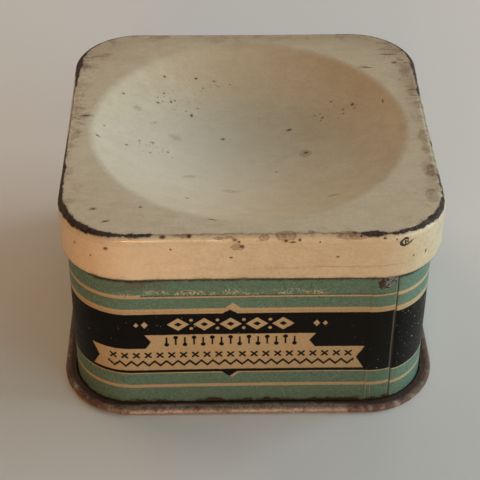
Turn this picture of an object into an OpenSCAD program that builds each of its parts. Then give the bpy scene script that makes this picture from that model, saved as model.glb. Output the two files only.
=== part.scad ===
// Square tin for dressmaking pins: a lock-seamed body, a bottom folded on round
// it, and a slip-on lid whose top is dished to hold pins while they are in use.
// Millimetres, +Z up. The origin is under the middle of the tin, on the surface
// that it stands on, and the printed front faces -Y.

/* [Tin] */
// Width and depth of the square body, outside
body_w = 53.8; // [40:0.1:90]
// Outer radius of the body's upright corners
corner_r = 9.2; // [7:0.1:14]
// Height of the closed tin
tin_h = 34; // [26:0.1:60]
// Thickness of the tinplate
sheet_t = 0.3; // [0.24:0.01:0.4]

/* [Lid] */
// Depth of the lid's skirt, from the top to its lower edge
skirt_h = 7.9; // [5:0.1:10]
// Outer radius where the top turns down into the skirt
shoulder_r = 1; // [0.6:0.1:2]
// Gap between the body and the folded-in edge of the skirt
lid_gap = 0.3; // [0.2:0.05:0.5]
// Width of the folded-in edge of the skirt
skirt_fold_w = 0.8; // [0.8:0.05:1.2]
// Height of the turned-back leg inside the skirt's edge
skirt_leg_h = 0.5; // [0.3:0.1:1]
// Flat margin from the lid's side to the dish
dish_margin = 3.9; // [3:0.1:8]
// Depth of the dish below the flat top
dish_depth = 6.5; // [3:0.1:10]

/* [Body] */
// Width of the edge folded inwards round the mouth
mouth_fold_w = 1; // [0.8:0.05:1.2]
// Height of the turned-back leg inside the mouth
mouth_leg_h = 0.6; // [0.3:0.1:1]
// Air between the mouth and the underside of the lid
rest_gap = 0.1; // [0.05:0.05:0.3]
// Width of the folded side seam, measured round the body
seam_w = 3.9; // [3:0.1:6]
// Angle round the front right corner at which the seam's outer fold lies
seam_turn = 21; // [10:1:45]
// Thickness of the seam's inner layers
seam_fold_t = 0.9; // [0.6:0.05:1.2]
// Width of the groove beside the seam's outer fold
seam_groove_w = 0.35; // [0.2:0.05:0.6]
// Depth of that groove
seam_groove_d = 0.15; // [0.1:0.01:0.2]
// Height of the body's plain wall left above and below the seam's layers
seam_end_gap = 0.8; // [0.5:0.1:2]
// Inner radius of the bend from the wall into its foot flange
foot_bend_r = 0.3; // [0.2:0.05:0.5]

/* [Bottom] */
// Distance that the folded rim stands out from the body
rim_proud = 2; // [1.6:0.05:2.6]
// Slack inside the folded rim, above the body's flange
rim_slack = 0.3; // [0.2:0.05:0.5]
// Gap between the rim's folded edge and the body
rim_edge_gap = 0.5; // [0.3:0.05:0.7]
// Gap between the flange's edge and the inside of the rim's fold
flange_gap = 0.35; // [0.2:0.05:0.6]
// Height of the floor panel above the ring that the tin stands on
floor_rise = 0.8; // [0.6:0.1:2]
// Gap between the floor panel's step and the wall
floor_gap = 0.2; // [0.1:0.05:0.5]
// Inner radius of the step's two bends
step_bend_r = 0.1; // [0.05:0.05:0.2]

/* [Hidden] */
$fn = 96;

// Overlap that joins two solids of one piece
JOIN = 0.02;

// Distance from the tin's axis to the centre of each corner's curve
corner_c = body_w / 2 - corner_r;

// Profiles are drawn with x measured outwards from the body's outer face and
// y measured upwards from the surface that the tin stands on.
lid_side = lid_gap + skirt_fold_w;
lid_half_w = body_w / 2 + lid_side;
skirt_bottom = tin_h - skirt_h;
skirt_fold_r = skirt_fold_w / 2;

mouth_top = tin_h - sheet_t - rest_gap;
mouth_fold_r = mouth_fold_w / 2;

rim_h = 3 * sheet_t + rim_slack;
rim_fold_r = rim_h / 2;
rim_fold_x = rim_proud - rim_fold_r;
flange_edge = rim_proud - sheet_t - flange_gap;
foot_r = foot_bend_r + sheet_t;
foot_y = sheet_t + foot_r;

step_x = -sheet_t - floor_gap;
step_r = step_bend_r + sheet_t;

// The dish is part of a ball, whose radius follows from its width and depth
dish_r = lid_half_w - dish_margin;
ball_r = (dish_r * dish_r + dish_depth * dish_depth) / (2 * dish_depth);
ball_y = tin_h - dish_depth + ball_r;

// Share of the seam that lies on the corner's curve, and the rest on the flat
seam_arc = min(seam_turn, seam_w / corner_r * 180 / PI);
seam_flat = max(0, seam_w - seam_turn * PI / 180 * corner_r);
groove_turn = seam_groove_w / corner_r * 180 / PI;
seam_low = foot_y + seam_end_gap;
seam_high = mouth_top - mouth_fold_r - mouth_leg_h - seam_end_gap;

// Sweeps a profile round the square body and its four rounded corners
module round_the_body() {
    for (quarter = [0:3]) rotate([0, 0, 90 * quarter]) {
        translate([corner_c, corner_c, 0])
            rotate_extrude(angle = 90)
                translate([corner_r, 0]) children();
        translate([corner_c + corner_r, corner_c, 0])
            rotate([90, 0, 0])
                linear_extrude(2 * corner_c) children();
    }
}

// Square sheet with rounded corners whose edge lies at profile distance x
module square_sheet(x, z, t) {
    r = corner_r + x;
    translate([0, 0, z]) linear_extrude(t) {
        square([2 * corner_c, 2 * (corner_c + r)], center = true);
        square([2 * (corner_c + r), 2 * corner_c], center = true);
        for (sx = [-1, 1], sy = [-1, 1])
            translate([sx * corner_c, sy * corner_c]) circle(r);
    }
}

// Bend of one sheet: a ring's part between two angles, at most a quarter turn
module bend(x, y, outer_r, from, to) {
    mid = (from + to) / 2;
    reach = 2 * outer_r;
    translate([x, y]) intersection() {
        difference() {
            circle(outer_r);
            circle(outer_r - sheet_t);
        }
        polygon([
            [0, 0],
            reach * [cos(from), sin(from)],
            reach * [cos(mid), sin(mid)],
            reach * [cos(to), sin(to)]
        ]);
    }
}

// Flat run of sheet between two corners of a rectangle
module run(x0, y0, x1, y1) {
    translate([x0, y0]) square([x1 - x0, y1 - y0]);
}

// The shoulder, the skirt and its folded-in lower edge
module skirt_profile() {
    fold_x = lid_side - skirt_fold_r;
    fold_y = skirt_bottom + skirt_fold_r;
    leg_x = lid_side - skirt_fold_w;
    bend(lid_side - shoulder_r, tin_h - shoulder_r, shoulder_r, 0, 90);
    run(lid_side - sheet_t, fold_y, lid_side, tin_h - shoulder_r);
    bend(fold_x, fold_y, skirt_fold_r, 180, 270);
    bend(fold_x, fold_y, skirt_fold_r, 270, 360);
    run(leg_x, fold_y, leg_x + sheet_t, fold_y + skirt_leg_h);
}

// The dish, drawn from the tin's axis outwards, with its upper edge in the flat
module dish_profile() {
    intersection() {
        translate([0, ball_y]) difference() {
            circle(ball_r + sheet_t);
            circle(ball_r);
        }
        run(0, tin_h - dish_depth - 2 * sheet_t, lid_half_w, tin_h);
    }
}

module lid() {
    color([0.87, 0.80, 0.66]) {
        round_the_body() skirt_profile();
        difference() {
            square_sheet(lid_side - shoulder_r, tin_h - sheet_t, sheet_t);
            translate([0, 0, tin_h - 2 * sheet_t]) cylinder(h = 3 * sheet_t, r = dish_r);
        }
        rotate_extrude() dish_profile();
    }
}

// The mouth's folded edge, the wall, and the flange turned out at its foot
module wall_profile() {
    fold_y = mouth_top - mouth_fold_r;
    bend(-mouth_fold_r, fold_y, mouth_fold_r, 0, 90);
    bend(-mouth_fold_r, fold_y, mouth_fold_r, 90, 180);
    run(-mouth_fold_w, fold_y - mouth_leg_h, sheet_t - mouth_fold_w, fold_y);
    run(-sheet_t, foot_y, 0, fold_y);
    bend(foot_bend_r, foot_y, foot_r, 180, 270);
    run(foot_bend_r, sheet_t, flange_edge, 2 * sheet_t);
}

// Piece of the front right corner that starts at an angle from the front face
// and goes on through another
module corner_piece(from, turn) {
    translate([corner_c, -corner_c, 0])
        rotate([0, 0, from - 90])
            rotate_extrude(angle = turn)
                translate([corner_r, 0]) children();
}

// The seam's inner layers, which lie against the inside of the wall
module seam_layers() {
    corner_piece(seam_turn - seam_arc, seam_arc + groove_turn)
        run(-sheet_t - seam_fold_t, seam_low, JOIN - sheet_t, seam_high);
    if (seam_flat > 0)
        translate([corner_c - seam_flat, sheet_t - JOIN - body_w / 2, seam_low])
            cube([seam_flat, seam_fold_t + JOIN, seam_high - seam_low]);
}

// The groove where the wall dips under the seam's outer fold
module seam_groove() {
    corner_piece(seam_turn, groove_turn)
        run(-seam_groove_d, seam_low, JOIN, seam_high);
}

module body_wrap() {
    color([0.26, 0.42, 0.36]) difference() {
        union() {
            round_the_body() wall_profile();
            seam_layers();
        }
        seam_groove();
    }
}

// The ring under the flange, the fold over it, and the step up to the floor
module rim_profile() {
    bend(rim_fold_x, rim_fold_r, rim_fold_r, 0, 90);
    bend(rim_fold_x, rim_fold_r, rim_fold_r, 270, 360);
    run(rim_edge_gap, rim_h - sheet_t, rim_fold_x, rim_h);
    run(step_x + step_bend_r, 0, rim_fold_x, sheet_t);
    bend(step_x + step_bend_r, step_r, step_r, 180, 270);
    run(step_x - sheet_t, step_r, step_x, floor_rise - step_bend_r);
    bend(step_x - step_r, floor_rise - step_bend_r, step_r, 0, 90);
}

module bottom_plate() {
    color([0.45, 0.38, 0.32]) {
        round_the_body() rim_profile();
        square_sheet(step_x - step_r, floor_rise, sheet_t);
    }
}

body_wrap();
bottom_plate();
lid();
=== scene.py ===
"""The looks of a square pin tin: a printed body, its folded-on bottom and its dished lid."""

from math import asin, atan2, cos, degrees, hypot, pi, radians, sin

import bmesh
import bpy
from mathutils import Matrix, Vector, noise


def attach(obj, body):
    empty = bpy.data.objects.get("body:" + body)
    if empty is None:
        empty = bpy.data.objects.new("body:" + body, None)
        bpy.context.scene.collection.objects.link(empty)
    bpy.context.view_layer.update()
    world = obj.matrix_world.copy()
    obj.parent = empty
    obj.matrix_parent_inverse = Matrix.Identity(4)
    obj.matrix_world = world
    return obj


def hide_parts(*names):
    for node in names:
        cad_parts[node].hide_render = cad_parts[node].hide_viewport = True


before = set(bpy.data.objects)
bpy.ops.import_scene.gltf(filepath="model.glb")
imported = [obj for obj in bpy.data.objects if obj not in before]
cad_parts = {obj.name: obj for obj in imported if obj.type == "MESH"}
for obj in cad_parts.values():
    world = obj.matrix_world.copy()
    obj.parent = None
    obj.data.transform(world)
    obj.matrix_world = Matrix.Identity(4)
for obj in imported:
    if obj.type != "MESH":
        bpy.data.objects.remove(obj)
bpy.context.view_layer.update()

# ---------------------------------------------------------------------------
# The body: one strip of printed tinplate, bent round a square former and closed
# by a folded seam at the front right corner. Its mouth is folded inwards, and
# its foot is turned out into the flange that the bottom is folded over.
# ---------------------------------------------------------------------------
MM = 0.001
SHEET = 0.3
CORNER_AT = 17.7
CORNER_R = 9.2
BODY_HALF = CORNER_AT + CORNER_R
SIDE = 2 * CORNER_AT
QUARTER = SIDE + pi / 2 * CORNER_R
GIRTH = 4 * QUARTER

SEAM_TURN = radians(21)
SEAM_EDGE = CORNER_AT + CORNER_R * SEAM_TURN
SEAM_DROP = 0.6
SIDE_SINK = 0.12

SIDE_ROWS = 44
CORNER_ROWS = 16
WELD = 0.002 * MM


def run(start, end, steps):
    """Points of a straight stretch of sheet, as (outwards, up) in millimetres."""
    shares = [step / steps for step in range(steps + 1)]
    return [
        (start[0] + (end[0] - start[0]) * share, start[1] + (end[1] - start[1]) * share)
        for share in shares
    ]


def arc(middle, radius, start, end, steps):
    """Points of a bend in the sheet, between two angles in degrees."""
    turns = [radians(start + (end - start) * step / steps) for step in range(steps + 1)]
    return [(middle[0] + radius * cos(t), middle[1] + radius * sin(t)) for t in turns]


def joined(*stretches):
    """One profile of several stretches, with each shared end kept once."""
    profile = []
    for stretch in stretches:
        for point in stretch:
            if not profile or hypot(point[0] - profile[-1][0], point[1] - profile[-1][1]) > 1e-4:
                profile.append(point)
    return profile


def even(steps):
    """Shares of a side or of a corner at which a row of vertices is left."""
    return [(step + 1) / steps for step in range(steps)]


def chained(sheet, spots):
    """A row of vertices at places in millimetres, with the edges that join them."""
    points = [sheet.verts.new([value * MM for value in spot]) for spot in spots]
    return points + [sheet.edges.new(pair) for pair in zip(points, points[1:])]


def swept(sheet, chain, cent, **how):
    """Draws a chain along or round, and gives its far end."""
    return bmesh.ops.spin(sheet, geom=chain, cent=cent, axis=(0, 0, 1), **how)["geom_last"]


def drawn_round(sheet, profile, sides, corners):
    """Draws a profile along the four sides and round the four corners of the tin."""
    chain = chained(sheet, [(-CORNER_AT, -(BODY_HALF + out), up) for out, up in profile])
    for quarter in range(4):
        turn = Matrix.Rotation(quarter * pi / 2, 3, "Z")
        centre = turn @ Vector((CORNER_AT * MM, -CORNER_AT * MM, 0))
        reached = 0
        for share in sides[quarter]:
            step = turn @ Vector((SIDE * MM * (share - reached), 0, 0))
            chain = swept(sheet, chain, (0, 0, 0), dvec=step, angle=0, steps=1)
            reached = share
        reached = 0
        for share in corners[quarter]:
            chain = swept(sheet, chain, centre, angle=pi / 2 * (share - reached), steps=1)
            reached = share
    bmesh.ops.remove_doubles(sheet, verts=sheet.verts, dist=WELD)


def round_the_tin(x, y, radius=CORNER_R):
    """How far a point lies round the tin from the front's middle, how far out, and which way out is."""
    for quarter in range(4):
        start = quarter * (SIDE + pi / 2 * radius)
        local = Matrix.Rotation(-quarter * pi / 2, 3, "Z") @ Vector((x, y, 0))
        back = Matrix.Rotation(quarter * pi / 2, 3, "Z")
        if abs(local.x) <= CORNER_AT + 1e-6 and local.y < 0 and -local.y >= abs(local.x) - 1e-6:
            return start + local.x, -local.y - BODY_HALF, back @ Vector((0, -1, 0))
        if local.x > CORNER_AT and -local.y > CORNER_AT:
            east, south = local.x - CORNER_AT, -local.y - CORNER_AT
            angle = atan2(east, south)
            outwards = back @ Vector((sin(angle), -cos(angle), 0))
            return start + CORNER_AT + radius * angle, hypot(east, south) - CORNER_R, outwards
    return 0.0, -BODY_HALF, Vector((0, 0, 0))


def face_outwards(sheet):
    """Turns all the faces of a skin to its outer side."""
    bmesh.ops.recalc_face_normals(sheet, faces=sheet.faces)
    outermost = max(sheet.faces, key=lambda face: face.calc_center_median().x)
    if outermost.normal.x < 0:
        bmesh.ops.reverse_faces(sheet, faces=sheet.faces)


def wrap_print(sheet, height_of, cut_at, radius=CORNER_R):
    """Lays a map over the skin: millimetres round the tin, cut open at one place, against height_of."""
    layer = sheet.loops.layers.uv.new("wrap")
    girth = 4 * (SIDE + pi / 2 * radius)
    for face in sheet.faces:
        middle = face.calc_center_median() / MM
        here = round_the_tin(middle.x, middle.y, radius)[0]
        if here > cut_at:
            here -= girth
        for corner in face.loops:
            spot = corner.vert.co / MM
            along, out, _ = round_the_tin(spot.x, spot.y, radius)
            while along - here > girth / 2:
                along -= girth
            while along - here < -girth / 2:
                along += girth
            corner[layer].uv = (along, height_of(along, out, spot.z))


def nudge(sheet, change):
    """Moves each vertex outwards and up by what change(round, out, up, spot) gives, in millimetres."""
    for vert in sheet.verts:
        spot = vert.co / MM
        along, out, outwards = round_the_tin(spot.x, spot.y)
        push, lift = change(along, out, spot.z, spot)
        vert.co += (outwards * push + Vector((0, 0, lift))) * MM


def uneven(spot, size, lane):
    """A smooth waver between -1 and 1, with bumps of a size in millimetres."""
    return noise.noise(spot / size + Vector((lane * 7.3, lane * 3.1, lane * 5.7)))


def wavering(spot, size, lane):
    """The same waver between 0 and 1."""
    return 0.5 + 0.5 * uneven(spot, size, lane)


def sink(along):
    """How far the sheet lies inside the straight side: most at mid side, nothing at the corners."""
    from_middle = (along + QUARTER / 2) % QUARTER - QUARTER / 2
    return -SIDE_SINK * max(0, 1 - (from_middle / CORNER_AT) ** 2)


def piece_from(sheet, name, materials, body, node):
    """Makes the finished object, hangs it on the body it rides on, and hides the part it stands for."""
    mesh = bpy.data.meshes.new(name)
    sheet.to_mesh(mesh)
    sheet.free()
    for polygon in mesh.polygons:
        polygon.use_smooth = True
    for material in materials:
        mesh.materials.append(material)
    piece = bpy.data.objects.new(name, mesh)
    bpy.context.scene.collection.objects.link(piece)
    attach(piece, body)
    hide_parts(node)


def thicken(sheet):
    """Gives the skin the thickness of the tinplate, inwards, with bare metal on the inner side."""
    skin = set(sheet.faces)
    bmesh.ops.solidify(sheet, geom=sheet.faces[:] + sheet.edges[:] + sheet.verts[:], thickness=SHEET * MM)
    for face in sheet.faces:
        face.material_index = 0 if face in skin else 1


# Rows of vertices lie close together at the seam, where the wall bends sharply
seam_stops = (18.2, 18.8, 19.4, 20.0, 20.5, 20.8, 20.95, SEAM_EDGE, 21.13, 21.2, 21.28, 21.4, 21.6,
              21.85, 22.1, 22.4, 22.8, 23.2, 23.7, 24.4, 25.3, 26.3, 27.3, 28.3, 29.3, 30.3, 31.3)
corner_shares = [(stop - CORNER_AT) / (QUARTER - SIDE) for stop in seam_stops] + [1]
front_stops = (17.15, 17.25, 17.35, 17.5)
front_shares = sorted(even(SIDE_ROWS) + [(stop + CORNER_AT) / SIDE for stop in front_stops])
even_sides = [even(SIDE_ROWS)] * 4
even_corners = [even(CORNER_ROWS)] * 4

MOUTH_R = 0.5
MOUTH_BEND_AT = 33.1
MOUTH_HEM = 0.6
FOOT_R = 0.3
FLANGE_UP = 0.6
FLANGE_EDGE = 1.35
foot_bend_at = FLANGE_UP + FOOT_R
body_profile = joined(
    run((-2 * MOUTH_R, MOUTH_BEND_AT - MOUTH_HEM), (-2 * MOUTH_R, MOUTH_BEND_AT), 2),
    arc((-MOUTH_R, MOUTH_BEND_AT), MOUTH_R, 180, 0, 10),
    run((0, MOUTH_BEND_AT), (0, foot_bend_at), 46),
    arc((FOOT_R, foot_bend_at), FOOT_R, 180, 270, 5),
    run((FOOT_R, FLANGE_UP), (FLANGE_EDGE, FLANGE_UP), 3),
)
body = bmesh.new()
drawn_round(body, body_profile, [front_shares] + even_sides[1:], [corner_shares] + even_corners[1:])
face_outwards(body)


def print_height(along, out, up):
    """Height on the printed sheet, whose right end was joined a little low at the seam."""
    drop = SEAM_DROP * (SEAM_EDGE - along) / GIRTH
    return up - out + drop


wrap_print(body, print_height, SEAM_EDGE)

# Each stop is (millimetres round the tin, millimetres out from the wall)
seam_shape = ((17.2, 0), (17.4, 0.07), (20.9, 0.08), (SEAM_EDGE, 0.02), (21.22, -0.16), (21.4, -0.17),
              (21.7, -0.09), (22.4, -0.03), (24.0, 0))


def seam_relief(along):
    """How far the wall stands out over the seam's outer fold, and in at the groove beside it."""
    for (left, low), (right, high) in zip(seam_shape, seam_shape[1:]):
        if left <= along <= right:
            return low + (high - low) * (along - left) / (right - left)
    return 0


DENTS_FROM = 1.0
DENTS_TO = 32.6
BROAD_DENT = 0.03
SMALL_DENT = 0.015


def wall_change(along, out, up, spot):
    """The hand-worked wall: sides a little hollow, shallow dents, and the seam's relief."""
    push = sink(along)
    on_wall = max(0, min(1, (up - DENTS_FROM) / 1.5, DENTS_TO - up))
    push += on_wall * (BROAD_DENT * uneven(spot, 14, 1) + SMALL_DENT * uneven(spot, 4, 2) - 0.01)
    push += on_wall * seam_relief(along)
    return push, 0


nudge(body, wall_change)
thicken(body)

# The seam's inner hem: the end of the sheet folded back on itself inside the wall
HEM_LOW = 1.8
HEM_HIGH = 31.8
HEM_ROWS = 12
HEM_GAP = 0.1
hem_path = joined(
    arc((17.75, 0.75), 0.45, 180, 90, 4),
    run((17.75, 1.2), (20.8, 1.2), 6),
    arc((20.8, 0.78), 0.42, 90, -90, 6),
    run((20.8, 0.36), (18.1, 0.36), 4),
)
hem_spots = []
for along, depth in hem_path:
    turn = max(0, along - CORNER_AT) / CORNER_R
    reach = CORNER_R - depth - HEM_GAP
    hem_spots.append((min(along, CORNER_AT) + reach * sin(turn), -CORNER_AT - reach * cos(turn), HEM_LOW))
hem = bmesh.new()
hem_step = (0, 0, (HEM_HIGH - HEM_LOW) / HEM_ROWS * MM)
swept(hem, chained(hem, hem_spots), (0, 0, 0), dvec=hem_step, angle=0, steps=HEM_ROWS)
bmesh.ops.recalc_face_normals(hem, faces=hem.faces)
inner_side = min(hem.faces, key=lambda face: (face.calc_center_median().xy).length)
if inner_side.normal.xy.dot(inner_side.calc_center_median().xy) > 0:
    bmesh.ops.reverse_faces(hem, faces=hem.faces)
hem.loops.layers.uv.new("wrap")
thicken(hem)
for face in hem.faces:
    face.material_index = 1
hem_mesh = bpy.data.meshes.new("hem")
hem.to_mesh(hem_mesh)
hem.free()
body.from_mesh(hem_mesh)
bpy.data.meshes.remove(hem_mesh)


def ink(red, green, blue):
    """A colour given as it looks on a screen, 0 to 255, in the values that a shader takes."""
    parts = []
    for value in (red, green, blue):
        share = value / 255
        parts.append(share / 12.92 if share <= 0.04045 else ((share + 0.055) / 1.055) ** 2.4)
    return (*parts, 1.0)


def add_node(tree, kind, inputs, **settings):
    """A node with its settings, and a value or a link for each of its inputs."""
    made = tree.nodes.new(kind)
    for name, value in settings.items():
        setattr(made, name, value)
    for name, value in inputs.items():
        if isinstance(value, bpy.types.NodeSocket):
            tree.links.new(value, made.inputs[name])
        elif value is not None:
            made.inputs[name].default_value = value
    return made


def calc(operation, value, *others):
    """A sum on a value, added to the finish that the value belongs to."""
    inputs = dict(enumerate((value, *others)))
    return add_node(value.id_data, "ShaderNodeMath", inputs, operation=operation).outputs[0]


def times(value, factor):
    return calc("MULTIPLY", value, factor)


def weighed(value, weight, base):
    """A value times its weight, on top of a base."""
    return calc("MULTIPLY_ADD", value, weight, base)


def plus(value, more):
    return calc("ADD", value, more)


def less(value, taken):
    return calc("SUBTRACT", value, taken)


def most(value, other):
    return calc("MAXIMUM", value, other)


def size_of(value):
    return calc("ABSOLUTE", value)


def apart(value, other):
    return size_of(less(value, other))


def repeated(value, pitch):
    """A value that starts again at each pitch, with 0 in the middle."""
    return calc("WRAP", value, pitch / 2, -pitch / 2)


def under(value, limit, soft):
    """1 where value is below limit, 0 above it, with a soft step between."""
    inputs = {"Value": value, "From Min": limit + soft, "From Max": limit - soft}
    return add_node(value.id_data, "ShaderNodeMapRange", inputs).outputs[0]


def over(value, limit, soft):
    """1 where value is above limit, 0 below it, with a soft step between."""
    return under(value, limit, -soft)


def vector(operation, place, *others, scale=None):
    """A sum on a place, like calc."""
    inputs = dict(enumerate((place, *others)))
    inputs["Scale"] = scale
    made = add_node(place.id_data, "ShaderNodeVectorMath", inputs, operation=operation)
    return made.outputs["Value" if operation == "DOT_PRODUCT" else "Vector"]


def axes(place):
    """The x, y and z of a place."""
    return add_node(place.id_data, "ShaderNodeSeparateXYZ", {0: place}).outputs


def mix(share, lower, upper):
    """The upper colour over the lower one, as far as share goes from 0 to 1."""
    inputs = {0: share, 6: lower, 7: upper}
    return add_node(share.id_data, "ShaderNodeMix", inputs, data_type="RGBA").outputs[2]


def stained(colour, place, strength, stain):
    """A colour with a stain over it where place is 1, at a strength between 0 and 1."""
    return mix(times(place, strength), colour, stain)


class Finish:
    """A finish in the making: one material, with the places and the noise of its piece."""

    def __init__(self, name):
        self.material = bpy.data.materials.new(name)
        self.material.use_nodes = True
        self.tree = self.material.node_tree
        self.shader = self.tree.nodes["Principled BSDF"]
        on_piece = self.tree.nodes.new("ShaderNodeTexCoord").outputs["Object"]
        self.spot = vector("SCALE", on_piece, scale=1000)
        self.flat_spot = vector("MULTIPLY", self.spot, (1, 1, 0))

    def wrapped(self):
        """The place on the piece's own map: millimetres round the tin, and then up, out or down."""
        return add_node(self.tree, "ShaderNodeUVMap", {}, uv_map="wrap").outputs[0]

    def cloud(self, size, seed, detail=3.0, rough=0.55, spot=None):
        """Soft noise between 0 and 1, with features of a size in millimetres."""
        inputs = {"Vector": spot or self.spot, "W": seed}
        inputs.update({"Scale": 1 / size, "Detail": detail, "Roughness": rough})
        return add_node(self.tree, "ShaderNodeTexNoise", inputs, noise_dimensions="4D").outputs["Fac"]

    def ragged(self, spot, size, amount, seed):
        """Places shifted by noise, so that what is drawn on them has uneven edges."""
        shift = {0: self.cloud(size, seed), 1: self.cloud(size, seed + 0.5)}
        shift = add_node(self.tree, "ShaderNodeCombineXYZ", shift).outputs[0]
        reach = amount * 3
        shift = vector("MULTIPLY_ADD", shift, (reach, reach, 0), (-reach / 2, -reach / 2, 0))
        return vector("ADD", shift, spot)

    def specks(self, size, radius, share, seed, soft=0.3):
        """Round specks: one chance per cell of a size, a share of the cells filled."""
        moved = vector("ADD", self.spot, (seed * 13.7, seed * 5.1, seed * 9.3))
        cells = add_node(self.tree, "ShaderNodeTexVoronoi", {"Vector": moved, "Scale": 1 / size})
        away = times(cells.outputs["Distance"], size)
        chance = add_node(self.tree, "ShaderNodeSeparateColor", {0: cells.outputs["Color"]})
        reach = times(over(chance.outputs[0], 1 - share, share * 0.5), radius)
        return under(less(away, reach), -radius * soft * 0.5, radius * soft * 0.5)

    def relief(self, height, depth):
        """A bump of a depth in millimetres from a height of 0 to 1, on top of any bump so far."""
        inputs = {"Height": height, "Distance": depth * MM}
        so_far = self.shader.inputs["Normal"]
        if so_far.is_linked:
            inputs["Normal"] = so_far.links[0].from_socket
        made = add_node(self.tree, "ShaderNodeBump", inputs)
        self.tree.links.new(made.outputs[0], so_far)

    def finish(self, colour, roughness, metallic=0.0):
        for name, value in (("Base Color", colour), ("Roughness", roughness), ("Metallic", metallic)):
            socket = self.shader.inputs[name]
            if isinstance(value, bpy.types.NodeSocket):
                self.tree.links.new(value, socket)
            else:
                socket.default_value = value


def nearest(spot, marks):
    """0 in the middle of the nearest mark and 1 at its edge.

    A mark is (x, y, half length, half width), and then its turn in degrees if it has one.
    """
    raised = vector("ADD", spot, (0, 0, 1))
    closest = None
    for x, y, length, width, *turned in marks:
        turn = radians(turned[0]) if turned else 0
        right, up = cos(turn), sin(turn)
        along_it = (right / length, up / length, -(x * right + y * up) / length)
        across_it = (-up / width, right / width, (x * up - y * right) / width)
        far = vector("DOT_PRODUCT", raised, along_it)
        wide = vector("DOT_PRODUCT", raised, across_it)
        away = weighed(far, far, times(wide, wide))
        closest = away if closest is None else calc("MINIMUM", closest, away)
    return calc("SQRT", closest)


def stripe(up, low, high):
    """Distance to a stripe between two heights, negative inside it."""
    return less(apart(up, (low + high) / 2), (high - low) / 2)


def lozenge(across, up, middle, half_width, half_height):
    """Distance to a lozenge, negative inside it."""
    size = hypot(half_width, half_height)
    wide = times(size_of(across), half_height / size)
    total = weighed(apart(up, middle), half_width / size, wide)
    return less(total, half_width * half_height / size)


def dot(across, up, middle, radius):
    high = less(up, middle)
    square = weighed(across, across, times(high, high))
    return less(calc("SQRT", square), radius)


def peak(across, up, apex, half_width, height, base):
    """Distance to a small gable that rises, or hangs where height is negative, from a line."""
    tall = abs(height)
    size = hypot(half_width, tall)
    sign = 1 if height > 0 else -1
    rise = times(less(up, apex), sign * half_width / size)
    slope = weighed(size_of(across), tall / size, rise)
    return most(slope, times(less(up, base), -sign))


def ribbon(along, up, left, right, low, high, notch):
    """Distance to a banner with a swallow-tailed cut at each end."""
    cut = apart(up, (low + high) / 2)
    cut = weighed(cut, -notch / ((high - low) / 2), notch)
    from_middle = apart(along, (left + right) / 2)
    ends = less(plus(from_middle, cut), (right - left) / 2)
    return most(stripe(up, low, high), times(ends, 0.75))


def any_of(*distances):
    closest = distances[0]
    for distance in distances[1:]:
        closest = calc("MINIMUM", closest, distance)
    return closest


def within(distance, middle, along, reach):
    """Keeps what is drawn within a reach of a middle."""
    return most(distance, less(apart(along, middle), reach))


INK_EDGE = 0.05
INK_SHINE = 0.1
BLACK_INK = ink(9, 8, 7)
RUST = ink(66, 38, 20)
DARK_RUST = ink(38, 22, 14)
BARE_TIN = ink(120, 112, 104)

printed = Finish("printed_tinplate")
wrap = printed.wrapped()
print_spot = printed.ragged(wrap, 0.35, 0.05, 1)
print_axes = axes(print_spot)
along, up = print_axes[0], print_axes[1]
PRINT_MIDDLE = -3.0
centred = less(along, PRINT_MIDDLE)
face_across = repeated(centred, QUARTER)

# Green ground, with cream left bare for the lines and for the gables over and under the band
BAND_LOW = 7.4
BAND_HIGH = 19.0
CREAM_LINES = ((22.05, 22.7), (BAND_HIGH, 20.0), (7.2, 7.42), (4.35, 4.95))
cream_lines = any_of(
    *(stripe(up, low, high) for low, high in CREAM_LINES),
    peak(less(face_across, 0.32), up, apex=21.04, half_width=1.3, height=1.15, base=19.5),
    peak(less(face_across, 0.2), up, apex=6.2, half_width=1.1, height=-0.95, base=7.2),
)
ground = over(cream_lines, 0, INK_EDGE)

# Black band, with its two gables
band = any_of(
    stripe(up, BAND_LOW, BAND_HIGH),
    peak(plus(face_across, 0.12), up, apex=19.72, half_width=1.15, height=0.72, base=18.8),
    peak(plus(face_across, 0.18), up, apex=6.42, half_width=1.0, height=-0.85, base=7.6),
)

# A row of lozenges with dots between them, in cream on the band
LOZENGE_PITCH = 3.85
LOZENGE_ROW = 16.95
DOT_OFF = 0.8
DOT_R = 0.26
lozenge_across = repeated(face_across, LOZENGE_PITCH)
dot_across = calc("WRAP", face_across, LOZENGE_PITCH, 0)
dot_across = less(dot_across, LOZENGE_PITCH / 2)
lozenges = lozenge(lozenge_across, up, LOZENGE_ROW, half_width=1.62, half_height=1.2)
lozenge_hearts = lozenge(lozenge_across, up, LOZENGE_ROW, half_width=0.62, half_height=0.42)
lozenges = most(lozenges, times(lozenge_hearts, -1))
lozenges = within(lozenges, 0, face_across, 2.5 * LOZENGE_PITCH)
dots = any_of(
    dot(dot_across, up, LOZENGE_ROW + DOT_OFF, DOT_R),
    dot(dot_across, up, LOZENGE_ROW - DOT_OFF, DOT_R),
)
dots = within(dots, 0, face_across, 2.2 * LOZENGE_PITCH)
ROW_END = 12.6
end_across = less(size_of(face_across), ROW_END)
ends = any_of(
    lozenge(end_across, up, LOZENGE_ROW, half_width=0.5, half_height=0.62),
    lozenge(less(end_across, 1.25), up, LOZENGE_ROW, half_width=0.36, half_height=0.45),
)

# Two swallow-tailed banners on the front
banners = any_of(
    ribbon(along, up, left=-15.65, right=9.55, low=12.2, high=14.95, notch=0.95),
    ribbon(along, up, left=-24.0, right=16.9, low=7.95, high=12.3, notch=1.2),
)

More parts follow.
